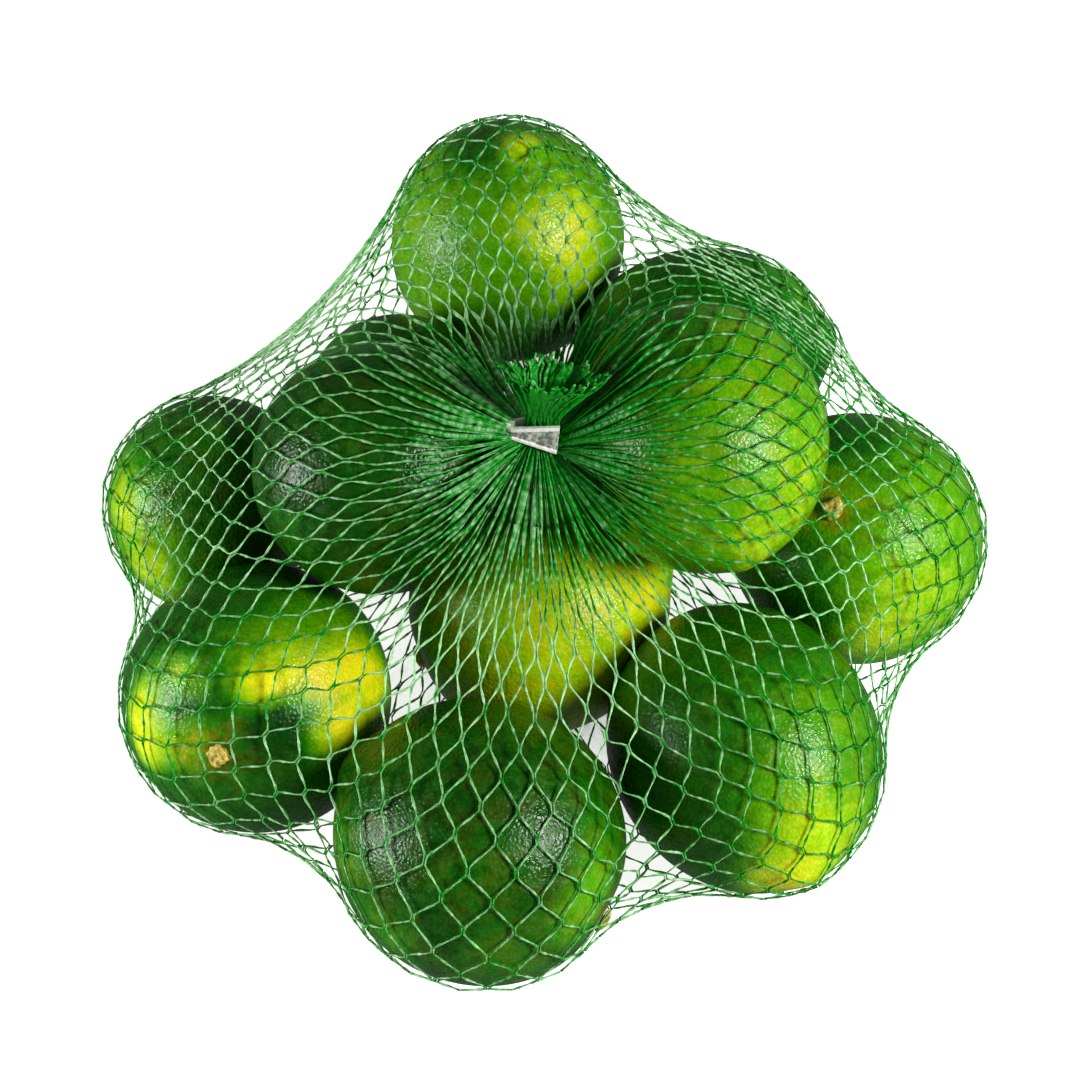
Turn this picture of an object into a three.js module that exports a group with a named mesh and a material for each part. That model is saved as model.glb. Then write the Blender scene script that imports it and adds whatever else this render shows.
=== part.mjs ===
// A net bag of limes: a knitted tube of net drawn tight round eleven limes, with a clip at each end.
// Millimetres, +Z up. The bag rests on z = 0 with the clipped neck on top.

import * as THREE from 'three';

// Limes inside the net: centre, width across, length from stem to tip, and where the tip points.
const LIMES = {
  back: { at: [-8, 76.3, 27.3], width: 51, length: 57, tip: [0.14, 0.18, 0.97] },
  back_right: { at: [34, 46.5, 23.7], width: 48, length: 55, tip: [0.95, 0.2, 0.2] },
  right: { at: [68, 0.5, 27.7], width: 51.5, length: 53.5, tip: [0.25, 0.28, -0.93] },
  front_right: { at: [40.5, -51, 27.8], width: 56, length: 62, tip: [0.42, -0.8, -0.3] },
  front: { at: [-13.5, -71.7, 29.2], width: 59, length: 61, tip: [-0.8, 0.57, -0.12] },
  front_left: { at: [-61.5, -39, 27], width: 54, length: 57, tip: [0.22, 0.78, -0.58] },
  left: { at: [-71.5, 11, 23.9], width: 46, length: 50, tip: [0.2, 0.1, 0.97] },
  back_left: { at: [-31, 33.5, 23.4], width: 45, length: 49, tip: [-0.3, -0.4, 0.86] },
  middle: { at: [-1.5, -12.5, 25], width: 51, length: 53, tip: [0.9, 0.3, 0.2] },
  top_right: { at: [31, 1.2, 67.5], width: 53.5, length: 58, tip: [0.3, -0.8, -0.5] },
  top_left: { at: [-34.5, -3, 64], width: 51, length: 52, tip: [0.95, -0.1, 0.2] },
};
const TIP_HEIGHT = 2.4; // small nipple at the tip of each lime
const TIP_SPREAD = 0.2; // radians
const STEM_DIP = 1.0; // shallow dip round the stem
const STEM_SPREAD = 0.3; // radians

// The net: diamonds of four equal legs, in a tube that is gathered at both ends.
const COLUMNS = 60;
const ROWS = 40;
const SLACK_LEG = 5.6; // a leg pulls once it is longer than this
const NET_STANDOFF = 0.5; // middle of the strands above the peel
const START_RADII = [104, 110, 56]; // loose shell that the net starts from
const START_HEIGHT = 50;
const RELAX_STEPS = 1400;
const PULL = 0.16;
const GLIDE = 0.9;

// Between the limes the solid lies deeper than the net, whose open cells show the fruit further in.
const SINK_SHARE = 0.85; // of the radius of the largest ball that fits under the skin there
const SINK_MOST = 24;
const SINK_STEP = 0.5;
const RESTING_ROWS = 2; // next to each gather, which lie as the net does
const FADING_ROWS = 3; // after those, which sink only in part
const SMOOTH_STEPS = 9;
const SMOOTH_SHARE = 0.5; // of the way to the middle of a knot's neighbours, in each step

// The two gathers: middle of the clip, which way the tail points, and how wide its cut end opens.
const TOP_GATHER = { at: [-1.2, -5, 78.6], axis: [0.1, 0.45, 0.88], tail: 10, flare: [10.7, 7], lean: 1.5 };
const BOTTOM_GATHER = { at: [1, 26, 10.5], axis: [0.05, 0, -1], tail: 4.6, flare: [8, 6], lean: 0 };
const NECK_RADII = [4.6, 1.5]; // strands squeezed flat inside the clip
const NECK_SHIFT = -1.3; // towards the clip's fold
const NECK_WEDGE = 0.3; // thicker at the clip's open side
const NECK_TOP = 4.4; // from the middle of the clip to where the tail starts to open
const NECK_REACH = 6.2; // from the middle of the clip to where the net opens out
const TAIL_FOLDS = 7;
const FOLD_DEPTH = 0.16; // share of the tail's radius
const FLARE_POWER = 1.3;
const TAIL_RINGS = 4;
const TAIL_WALL = 1.1;
const HOLLOW_LEAST = 0.25; // smallest hollow, as a share of the tail's radius
const HOLLOW_SINK = 0.25; // how much deeper the hollow's rings lie, in steps between rings
const HOLLOW_FLOOR = 0.1; // share of the tail's length

// The clips: an aluminium strip with raised edges, folded at one end and pressed shut over the neck.
const CLIP_STRIP = 1.1; // thickness at the raised edges
const CLIP_FOLD = 1.7; // radius of the fold, at the middle of the strip
const CLIP_FOLD_AT = -5.4;
const CLIP_LEG = 9;
const CLIP_SPREAD = 0.145; // radians that each leg stands off the middle line
const FOLD_EDGES = [-0.4, 1.7]; // lower and upper edge of the strip at the fold
const LEG_EDGES = [-2.3, 4]; // and at the ends of its legs
const EDGE_WIDTH = 0.9; // of each raised edge
const EDGE_RISE = 0.4;
const EDGE_ROUND = 0.2;
const LEG_STEPS = 5;
const FOLD_STEPS = 12;

const GREEN_NET = { color: 0x2f9a45, roughness: 0.5, metalness: 0 };
const ALUMINIUM = { color: 0xb9bcbd, roughness: 0.35, metalness: 1 };

// Distance from a lime's centre to its peel, for a cosine measured from the tip.
function peelRadius(lime, cosTip) {
  const across = (1 - cosTip * cosTip) / (lime.width / 2) ** 2;
  const along = (cosTip * cosTip) / (lime.length / 2) ** 2;
  const angle = Math.acos(Math.min(1, Math.max(-1, cosTip)));
  const nipple = TIP_HEIGHT * Math.exp(-((angle / TIP_SPREAD) ** 2));
  const dip = STEM_DIP * Math.exp(-(((Math.PI - angle) / STEM_SPREAD) ** 2));
  return 1 / Math.sqrt(across + along) + nipple - dip;
}

const FRUIT = Object.values(LIMES).map((lime) => ({
  ...lime,
  centre: new THREE.Vector3(...lime.at),
  axis: new THREE.Vector3(...lime.tip).normalize(),
  reach: lime.length / 2 + TIP_HEIGHT + NET_STANDOFF,
}));

// Where a point is inside a lime or too close to it, moves the point out and sets the way that it went.
function pushOut(lime, point, out) {
  out.subVectors(point, lime.centre);
  const distance = out.length();
  if (distance > lime.reach) return false;
  out.divideScalar(distance);
  const surface = peelRadius(lime, out.dot(lime.axis)) + NET_STANDOFF;
  if (distance > surface) return false;
  point.copy(lime.centre).addScaledVector(out, surface);
  return true;
}

// Local axes of a gather: along the neck, and two across it that keep close to X and Y.
function gatherAxes(gather) {
  const along = new THREE.Vector3(...gather.axis).normalize();
  const side = new THREE.Vector3(1, 0, 0).addScaledVector(along, -along.x).normalize();
  const front = new THREE.Vector3(0, 1, 0);
  front.addScaledVector(along, -along.y).addScaledVector(side, -side.y).normalize();
  return { centre: new THREE.Vector3(...gather.at), along, side, front };
}

// One ring of points across a gather, a distance along its neck: open is 0 in the clip and 1 at the rim.
function gatherRing(gather, distance, open, wall, stagger) {
  const { centre, along, side, front } = gatherAxes(gather);
  const [wide, deep] = NECK_RADII.map((neck, axis) => {
    const outside = neck + (gather.flare[axis] - neck) * open;
    return Math.max(outside - wall, outside * HOLLOW_LEAST);
  });
  const ring = [];
  for (let j = 0; j < COLUMNS; j++) {
    const angle = (2 * Math.PI * (j + stagger / 2)) / COLUMNS;
    const fold = 1 + FOLD_DEPTH * open * Math.cos(TAIL_FOLDS * angle);
    const wedge = 1 + NECK_WEDGE * (1 - open) * Math.cos(angle);
    ring.push(
      centre
        .clone()
        .addScaledVector(along, distance)
        .addScaledVector(side, wide * fold * Math.cos(angle) + NECK_SHIFT * (1 - open) + gather.lean * open)
        .addScaledVector(front, deep * fold * wedge * Math.sin(angle)),
    );
  }
  return ring;
}

// Rings of a tail from the clip to the rim and back down its hollow, with the closing point.
function tailRings(gather) {
  const outline = [];
  for (let k = 0; k <= TAIL_RINGS; k++) {
    outline.push({ share: k / TAIL_RINGS, wall: 0 });
  }
  for (let k = TAIL_RINGS; k >= 1; k--) {
    outline.push({ share: (k - HOLLOW_SINK) / TAIL_RINGS, wall: TAIL_WALL });
  }
  const rings = outline.map(({ share, wall }, index) =>
    gatherRing(gather, NECK_TOP + gather.tail * share, share ** FLARE_POWER, wall, (index + 1) % 2),
  );
  const { centre, along } = gatherAxes(gather);
  const closing = centre.clone().addScaledVector(along, NECK_TOP + gather.tail * HOLLOW_FLOOR);
  return { rings, closing };
}

// The four knots that a knot's legs lead to.
function legEnds(rows, i, j) {
  const beside = (j + (i % 2 === 0 ? COLUMNS - 1 : 1)) % COLUMNS;
  return [rows[i - 1], rows[i + 1]].flatMap((row) => [row[j], row[beside]]);
}

// The net drawn tight over the limes: each leg pulls its two ends together, limes and floor push back.
function drapeNet() {
  const rows = [];
  for (let i = 0; i <= ROWS; i++) {
    const down = (Math.PI * (i + 0.5)) / (ROWS + 1);
    const row = [];
    for (let j = 0; j < COLUMNS; j++) {
      const around = (2 * Math.PI * (j + (i % 2) / 2)) / COLUMNS;
      row.push(
        new THREE.Vector3(
          START_RADII[0] * Math.sin(down) * Math.cos(around),
          START_RADII[1] * Math.sin(down) * Math.sin(around),
          START_HEIGHT + START_RADII[2] * Math.cos(down),
        ),
      );
    }
    rows.push(row);
  }
  rows[0] = gatherRing(TOP_GATHER, -NECK_REACH, 0, 0, 0);
  rows[ROWS] = gatherRing(BOTTOM_GATHER, -NECK_REACH, 0, 0, 0);

  const speeds = rows.map((row) => row.map(() => new THREE.Vector3()));
  const pull = new THREE.Vector3();
  const leg = new THREE.Vector3();
  const out = new THREE.Vector3();

  for (let step = 0; step < RELAX_STEPS; step++) {
    for (let i = 1; i < ROWS; i++) {
      for (let j = 0; j < COLUMNS; j++) {
        const point = rows[i][j];
        pull.set(0, 0, 0);
        for (const end of legEnds(rows, i, j)) {
          leg.subVectors(end, point);
          const length = leg.length();
          pull.addScaledVector(leg, Math.max(0, 1 - SLACK_LEG / length));
        }
        speeds[i][j].multiplyScalar(GLIDE).addScaledVector(pull, PULL);
      }
    }
    for (let i = 1; i < ROWS; i++) {
      for (let j = 0; j < COLUMNS; j++) {
        const point = rows[i][j];
        const speed = speeds[i][j];
        point.add(speed);
        for (const lime of FRUIT) {
          if (pushOut(lime, point, out)) speed.addScaledVector(out, -Math.min(0, speed.dot(out)));
        }
        if (point.z < 0) {
          point.z = 0;
          speed.z = Math.max(0, speed.z);
        }
      }
    }
  }
  return rows;
}

// A closed skin over rings of equal count. Every second ring is turned by half a step, the first one too.
function skinRings(rings, firstPoint, lastPoint) {
  const positions = [firstPoint, ...rings.flat(), lastPoint].flatMap((point) => point.toArray());
  const last = rings.length * COLUMNS + 1;
  const at = (k, j) => 1 + k * COLUMNS + ((j + COLUMNS) % COLUMNS);
  const faces = [];
  for (let j = 0; j < COLUMNS; j++) {
    faces.push(0, at(0, j), at(0, j + 1));
    faces.push(last, at(rings.length - 1, j + 1), at(rings.length - 1, j));
  }
  for (let k = 0; k + 1 < rings.length; k++) {
    const lag = k % 2 === 0 ? 0 : -1;
    for (let j = 0; j < COLUMNS; j++) {
      faces.push(at(k, j), at(k + 1, j + lag), at(k + 1, j + lag + 1));
      faces.push(at(k, j), at(k + 1, j + lag + 1), at(k, j + 1));
    }
  }
  const geometry = new THREE.BufferGeometry();
  geometry.setAttribute('position', new THREE.Float32BufferAttribute(positions, 3));
  geometry.setIndex(faces);
  geometry.computeVertexNormals();
  return geometry;
}

// How deep the skin may sink at a knot: a share of the ball that touches it from inside, or down to a lime.
function sinkDepth(knot, knots) {
  const gap = new THREE.Vector3();
  let ball = Infinity;
  for (const { point } of knots) {
    const inward = gap.subVectors(knot.point, point).dot(knot.way);
    if (inward > 0) ball = Math.min(ball, gap.lengthSq() / (2 * inward));
  }
  const most = Math.min(SINK_MOST, ball * SINK_SHARE);
  const probe = new THREE.Vector3();
  const out = new THREE.Vector3();
  let depth = 0;
  while (depth < most) {
    probe.copy(knot.point).addScaledVector(knot.way, -depth - SINK_STEP);
    if (FRUIT.some((lime) => pushOut(lime, probe, out))) break;
    depth += SINK_STEP;
  }
  return depth;
}

// Sinks the net's rows between the limes and smooths what has sunk, with the knots beside it. The rows at the
// gathers and the knots on the floor stay.
function sinkRows(rows, ways) {
  const sinking = (i) => THREE.MathUtils.clamp((Math.min(i, ROWS - i) - RESTING_ROWS) / FADING_ROWS, 0, 1);
  const knots = rows.flatMap((row, i) => row.map((point, j) => ({ point, way: ways[i][j] })));
  const depths = rows.map((row, i) =>
    row.map((_, j) => sinking(i) * sinkDepth(knots[i * COLUMNS + j], knots)),
  );
  let sunk = rows.map((row, i) =>
    row.map((point, j) => point.clone().addScaledVector(ways[i][j], -depths[i][j])),
  );
  const moves = (point, i, j) =>
    sinking(i) > 0 && point.z > 0 && [depths[i][j], ...legEnds(depths, i, j)].some((depth) => depth > 0);
  const out = new THREE.Vector3();
  for (let step = 0; step < SMOOTH_STEPS; step++) {
    const before = sunk;
    sunk = before.map((row, i) =>
      row.map((point, j) => {
        if (!moves(point, i, j)) return point;
        const ends = legEnds(before, i, j);
        const middle = ends.reduce((sum, end) => sum.add(end), new THREE.Vector3()).divideScalar(ends.length);
        middle.lerp(point, 1 - SMOOTH_SHARE);
        FRUIT.forEach((lime) => pushOut(lime, middle, out));
        return middle;
      }),
    );
  }
  return sunk;
}

// The whole net: top tail, draped body and bottom tail as one closed form.
function netBag() {
  const top = tailRings(TOP_GATHER);
  const bottom = tailRings(BOTTOM_GATHER);
  const skin = (rows) =>
    skinRings([...top.rings.slice().reverse(), ...rows, ...bottom.rings], top.closing, bottom.closing);
  const net = drapeNet();
  const normals = skin(net).getAttribute('normal');
  const ways = net.map((row, i) =>
    row.map((_, j) =>
      new THREE.Vector3().fromBufferAttribute(normals, 1 + (top.rings.length + i) * COLUMNS + j),
    ),
  );
  return skin(sinkRows(net, ways));
}

// The folded strip's middle line, seen along the neck, from one leg's end to the other's.
function clipStations() {
  const stations = [];
  const addLeg = (run, hand) => {
    const out = [-Math.sin(CLIP_SPREAD), hand * Math.cos(CLIP_SPREAD)];
    const x = CLIP_FOLD_AT + run * Math.cos(CLIP_SPREAD) + CLIP_FOLD * out[0];
    stations.push({ x, y: hand * run * Math.sin(CLIP_SPREAD) + CLIP_FOLD * out[1], out });
  };
  for (let k = LEG_STEPS; k >= 0; k--) addLeg((CLIP_LEG * k) / LEG_STEPS, 1);
  const from = Math.PI / 2 + CLIP_SPREAD;
  const to = 2 * Math.PI - from;
  for (let k = 1; k < FOLD_STEPS; k++) {
    const angle = from + ((to - from) * k) / FOLD_STEPS;
    const out = [Math.cos(angle), Math.sin(angle)];
    stations.push({ x: CLIP_FOLD_AT + CLIP_FOLD * out[0], y: CLIP_FOLD * out[1], out });
  }
  for (let k = 0; k <= LEG_STEPS; k++) addLeg((CLIP_LEG * k) / LEG_STEPS, -1);
  return stations;
}

// Section of the strip between two edge heights: flat inside, with a raised edge above and below outside.
function stripSection(low, high) {
  const skin = CLIP_STRIP / 2;
  const web = skin - EDGE_RISE;
  const half = [
    [-skin, low],
    [skin - EDGE_ROUND, low],
    [skin, low + EDGE_ROUND],
    [skin, low + EDGE_WIDTH - EDGE_ROUND],
    [web, low + EDGE_WIDTH],
  ];
  return [...half, ...half.map(([out, height]) => [out, low + high - height]).reverse()];
}

// A clip: the strip's section carried along its middle line, tall at the open ends and low at the fold.
function clipGeometry() {
  const stations = clipStations();
  const foldX = CLIP_FOLD_AT - CLIP_FOLD;
  const span = stations[0].x - foldX;
  const sections = stations.map(({ x, y, out }) => {
    const open = (x - foldX) / span;
    const [low, high] = FOLD_EDGES.map((edge, index) => edge + (LEG_EDGES[index] - edge) * open);
    return stripSection(low, high).map(([away, height]) => [x + out[0] * away, y + out[1] * away, height]);
  });
  const count = sections[0].length;
  const faces = [];
  for (let k = 0; k + 1 < sections.length; k++) {
    for (let a = 0; a < count; a++) {
      const b = (a + 1) % count;
      faces.push(k * count + a, (k + 1) * count + b, k * count + b);
      faces.push(k * count + a, (k + 1) * count + a, (k + 1) * count + b);
    }
  }
  const contour = stripSection(...LEG_EDGES).map(([away, height]) => new THREE.Vector2(away, height));
  const end = (sections.length - 1) * count;
  for (const [a, b, c] of THREE.ShapeUtils.triangulateShape(contour, [])) {
    faces.push(a, b, c);
    faces.push(end + a, end + c, end + b);
  }
  const geometry = new THREE.BufferGeometry();
  geometry.setAttribute('position', new THREE.Float32BufferAttribute(sections.flat(2), 3));
  geometry.setIndex(faces);
  return geometry;
}

function piece(name, geometry, finish) {
  const mesh = new THREE.Mesh(geometry, new THREE.MeshStandardMaterial(finish));
  mesh.name = name;
  return mesh;
}

function clip(name, gather) {
  const { centre, along, side } = gatherAxes(gather);
  const mesh = piece(name, clipGeometry(), ALUMINIUM);
  mesh.setRotationFromMatrix(new THREE.Matrix4().makeBasis(side, along.clone().cross(side), along));
  mesh.position.copy(centre);
  return mesh;
}

const bagOfLimes = new THREE.Group();
bagOfLimes.add(piece('net_bag', netBag(), GREEN_NET));
bagOfLimes.add(clip('top_clip', TOP_GATHER));
bagOfLimes.add(clip('bottom_clip', BOTTOM_GATHER));

export default bagOfLimes;
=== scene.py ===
"""A net bag of limes: peel, stems, knitted net and clips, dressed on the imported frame."""

import math

import bpy
import numpy as np
from mathutils import Matrix, Vector


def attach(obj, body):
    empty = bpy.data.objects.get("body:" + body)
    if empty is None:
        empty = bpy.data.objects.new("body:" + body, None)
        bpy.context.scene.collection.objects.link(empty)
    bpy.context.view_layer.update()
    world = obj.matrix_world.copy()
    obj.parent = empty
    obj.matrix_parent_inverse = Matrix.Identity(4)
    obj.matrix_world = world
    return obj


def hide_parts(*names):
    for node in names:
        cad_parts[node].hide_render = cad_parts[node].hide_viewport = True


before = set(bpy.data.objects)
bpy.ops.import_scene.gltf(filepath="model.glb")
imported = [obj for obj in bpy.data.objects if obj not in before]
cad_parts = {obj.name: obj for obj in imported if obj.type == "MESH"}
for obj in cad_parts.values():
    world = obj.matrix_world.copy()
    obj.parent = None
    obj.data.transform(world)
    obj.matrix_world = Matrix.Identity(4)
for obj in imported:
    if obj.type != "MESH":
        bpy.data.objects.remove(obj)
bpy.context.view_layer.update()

bl_info = {
    "name": "Net Bag of Limes",
    "version": (1, 0, 0),
    "blender": (4, 5, 0),
    "location": "View3D > Sidebar > Limes",
    "description": "Limes in a knitted net with a crimped clip, built on a packed frame",
    "category": "Add Mesh",
}

MM = 0.001

# Limes in millimetres, each within about 4 mm of the one in the part's source: centre, width across, length,
# and where the tip points. Ripeness runs from 0, deep green, to 1, yellow. Browning is the share of rubbed
# and dried peel. A blush changes the ripeness round a spot of the side that the camera sees: the spot's
# place across and up in radii of the lime, its spread in radians, and the change. Most blushes are the
# peel's own patches, but a few are painted light: the front lime's pale lower and left rims, and the
# lighter lower side of the middle one, which lies in shade.
LIMES = {
    "back": {
        "at": (-8.6, 76.3, 27.3), "width": 52, "length": 57, "tip": (0.14, 0.18, 0.97),
        "ripeness": 0.46, "browning": 0.04, "blushes": [
            (0.36, 0.17, 0.3, 0.3), (0.62, 0.0, 0.35, 0.12), (0.48, -0.27, 0.3, 0.12),
            (-0.24, 0.72, 0.36, -0.3), (0.14, 0.69, 0.17, 0.42), (-0.85, -0.05, 0.4, 0.1),
            (0.42, 0.8, 0.25, -0.15), (0.1, -0.75, 0.4, -0.15)],
    },
    "back_right": {
        "at": (33, 47.3, 25), "width": 49, "length": 57, "tip": (0.95, 0.05, 0.2),
        "ripeness": 0.1, "browning": 0.0, "blushes": [(0.8, 0.5, 0.4, 0.25)],
    },
    "right": {
        "at": (65.6, 0.2, 28), "width": 54, "length": 57, "tip": (0.25, 0.28, -0.93),
        "ripeness": 0.45, "browning": 0.03, "blushes": [
            (-0.2, 0.78, 0.45, -0.32), (-0.45, -0.1, 0.35, -0.2), (-0.45, -0.6, 0.42, -0.3),
            (0.45, -0.5, 0.5, 0.18), (0.1, -0.8, 0.35, 0.2)],
    },
    "front_right": {
        "at": (40.5, -49.3, 27.8), "width": 56, "length": 64, "tip": (0.39, -0.92, 0.05),
        "ripeness": 0.19, "browning": 0.08, "blushes": [
            (0.78, 0.4, 0.4, 0.14), (0.4, -0.62, 0.5, 0.42), (0.72, -0.1, 0.5, 0.11),
            (0.15, -0.82, 0.3, 0.35), (0.37, 0.2, 0.4, 0.16), (0.25, -0.3, 0.35, 0.14)],
    },
    "front": {
        "at": (-13.5, -71.7, 29.2), "width": 59, "length": 61, "tip": (-0.84, 0.46, 0.26),
        "ripeness": 0.08, "browning": 0.16, "blushes": [
            # painted light: (0.14, -0.82), (-0.92, -0.05) and (-0.66, -0.6) pale the lower and left rims
            (0.84, -0.1, 0.28, 0.22), (0.7, -0.5, 0.3, 0.34), (0.14, -0.82, 0.35, 0.16),
            (-0.92, -0.05, 0.3, 0.2), (-0.66, -0.6, 0.3, 0.2)],
    },
    "front_left": {
        "at": (-60.2, -37.7, 27.8), "width": 56.4, "length": 58, "tip": (0.22, 0.78, -0.58),
        "ripeness": 0.12, "browning": 0.03, "blushes": [
            (0.84, 0.12, 0.45, 0.78), (0.42, 0.16, 0.26, 0.45), (0.06, 0.12, 0.22, 0.58),
            (0.62, -0.26, 0.22, 0.55), (0.5, 0.48, 0.42, 0.38), (0.05, 0.42, 0.3, 0.36),
            (0.2, -0.28, 0.17, -0.45), (-0.74, -0.27, 0.32, 0.8), (-0.62, 0.1, 0.25, 0.3),
            (-0.4, 0.12, 0.16, 0.4), (-0.36, -0.36, 0.24, 0.4)],
    },
    "left": {
        "at": (-71.5, 11, 23.9), "width": 46, "length": 50, "tip": (0.2, 0.1, 0.97),
        "ripeness": 0.2, "browning": 0.08, "blushes": [
            (-0.67, -0.32, 0.5, 0.38), (-0.5, -0.75, 0.44, 0.36), (-0.82, 0.2, 0.38, 0.3)],
    },
    "back_left": {
        "at": (-31, 33.5, 23.4), "width": 45, "length": 49, "tip": (-0.3, -0.4, 0.86),
        "ripeness": 0.07, "browning": 0.0, "blushes": [(-0.5, 0.7, 0.4, 0.15)],
    },
    "middle": {
        "at": (-1.8, -16, 26.3), "width": 54, "length": 56, "tip": (0.9, 0.3, 0.2),
        "ripeness": 0.55, "browning": 0.17, "blushes": [
            (0.63, 0.1, 0.45, 0.26), (0.16, 0.0, 0.4, 0.14), (0.88, 0.15, 0.3, 0.16),
            # painted light: this blush lightens the lower side, which lies in shade
            (-0.1, -0.6, 0.5, 0.2)],
    },
    "top_right": {
        "at": (31, 1.2, 67.5), "width": 53.5, "length": 58, "tip": (0.28, -0.96, -0.05),
        "ripeness": 0.47, "browning": 0.12, "blushes": [
            (-0.5, 0.1, 0.6, -0.2), (-0.3, 0.8, 0.5, -0.24), (0.77, -0.05, 0.4, 0.08),
            (0.6, -0.6, 0.45, 0.08), (0.3, -0.82, 0.35, 0.1)],
    },
    "top_left": {
        "at": (-34.5, -3.8, 63.8), "width": 52.4, "length": 53, "tip": (0.95, -0.1, 0.2),
        "ripeness": 0.02, "browning": 0.1, "blushes": [
            (-0.3, 0.9, 0.3, 0.2), (-0.7, -0.5, 0.25, 0.15)],
    },
}
SEEN_FROM = math.radians(60)  # height angle of the camera over the floor
TIP_HEIGHT = 2.4  # small nipple at the tip of each lime
TIP_SPREAD = 0.2  # radians
STEM_DIP = 1.0  # shallow dip round the stem
STEM_SPREAD = 0.3  # radians

# The net in millimetres, drawn tight as in the part's source, but held spread round the top neck.
COLUMNS = 60
ROWS = 40
SLACK_LEG = 5.6  # a leg pulls once it is longer than this
NET_STANDOFF = 0.5  # middle of the strands above the peel
START_RADII = (104, 110, 56)  # loose shell that the net starts from
START_HEIGHT = 50
RELAX_STEPS = 1400
PULL = 0.16
GLIDE = 0.9
SPREAD_PULL = 0.15  # as the knit's grip on the peel does
SPREAD_ROWS = (6, 14)  # fully up to the first of these rows, and not at all from the second
SPREAD_MOST = 0.6  # radians

# The two gathers in millimetres, placed as in the part's source, with the neck bundled a little tighter
TOP_GATHER = {
    "at": (-1.2, -5, 78.6), "axis": (0.1, 0.45, 0.88), "tail": 10, "flare": (10.7, 7), "lean": 1.5}
BOTTOM_GATHER = {
    "at": (1, 26, 10.5), "axis": (0.05, 0, -1), "tail": 4.6, "flare": (8, 6), "lean": 0}
NECK_RADII = (3.7, 1.5)  # strands squeezed flat inside the clip
NECK_SHIFT = -0.4  # towards the clip's fold
NECK_WEDGE = 0.3  # thicker at the clip's open side
NECK_TOP = 4.4  # from the middle of the clip to where the tail starts to open
NECK_REACH = 6.2  # from the middle of the clip to where the net opens out
TAIL_FOLDS = 7
FOLD_DEPTH = 0.16  # share of the tail's radius
FLARE_POWER = 1.3


def linear(code):
    """An sRGB hex value as linear red, green, blue and alpha."""
    shares = [int(code[k:k + 2], 16) / 255 for k in (1, 3, 5)]
    return [v / 12.92 if v <= 0.04045 else ((v + 0.055) / 1.055) ** 2.4 for v in shares] + [1.0]


def unit(vectors):
    """Vectors scaled to length one along the last axis."""
    vectors = np.asarray(vectors, float)
    return vectors / np.maximum(np.linalg.norm(vectors, axis=-1, keepdims=True), 1e-9)


def dot(a, b):
    """Dot products along the last axis, which is kept."""
    return np.sum(a * b, axis=-1, keepdims=True)


# Settings


def length_setting(name, description, millimetres):
    """A length for the sidebar, with its default in millimetres."""
    return bpy.props.FloatProperty(
        name=name, description=description, default=millimetres * MM, unit="LENGTH")


def color_setting(name, description, code):
    """A colour for the sidebar, with its default as an sRGB hex value."""
    return bpy.props.FloatVectorProperty(
        name=name, description=description, size=4, subtype="COLOR", default=linear(code))


class LimePeelSettings(bpy.types.PropertyGroup):
    gland_spacing: length_setting("Gland Spacing", "Distance between oil glands", 0.8)
    gland_depth: length_setting("Gland Depth", "Depth of the dimples over the glands", 0.13)
    unevenness: length_setting("Unevenness", "Depth of the soft flats on each fruit", 0.5)
    deep_green: color_setting("Deep Green", "Unripe peel", "#064002")
    leaf_green: color_setting("Leaf Green", "Peel that starts to turn", "#186C02")
    lime_green: color_setting("Lime Green", "Half-ripe peel", "#4E9800")
    light_green: color_setting("Light Green", "Nearly ripe peel", "#9CC404")
    yellow: color_setting("Yellow", "Ripe peel", "#EAE412")
    tan_turn: bpy.props.FloatProperty(
        name="Tan Turn", description="Hue of rubbed and dried patches, where 0.5 is that of sound peel",
        default=0.41, subtype="FACTOR")
    stem_width: length_setting("Stem Width", "Width of the dry button at each stem", 4.6)
    stem_cracks: color_setting("Stem Cracks", "Dark of a stem's dry button", "#7A6416")
    stem_crust: color_setting("Stem Crust", "Pale of a stem's dry button", "#D6C056")


class NetSettings(bpy.types.PropertyGroup):
    tape_width: length_setting("Tape Width", "Width of a knitted strand", 0.6)
    tape_thickness: length_setting("Tape Thickness", "Thickness of a strand", 0.32)
    twist_pitch: length_setting("Twist Pitch", "Length in which a strand turns once", 8)
    bead_pitch: length_setting("Bead Pitch", "Length of one knitted loop along a strand", 1.9)
    joint_length: length_setting("Joint Length", "Length along which two strands run together", 1.7)
    glow_depth: length_setting("Glow Depth", "How far light shines into the tape", 1.0)
    seed: bpy.props.IntProperty(name="Seed", description="Seed of the net's small irregularities", default=7)
    green: color_setting("Green", "Colour of the tape", "#0A7E13")
    # the pale end also shows the painted light, glints and shade laid into the tape's paleness
    pale: color_setting("Pale", "Colour of the tape where it is drawn thin", "#9CD496")


class ClipSettings(bpy.types.PropertyGroup):
    metal: color_setting("Metal", "Colour of the clip's aluminium", "#FFFDF2")
    # Rubbed Metal is the web's dark mottle: scuffs, and painted shade between the raised edges
    rubbed: color_setting("Rubbed Metal", "Colour where the press has dulled it", "#6C726A")


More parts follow.
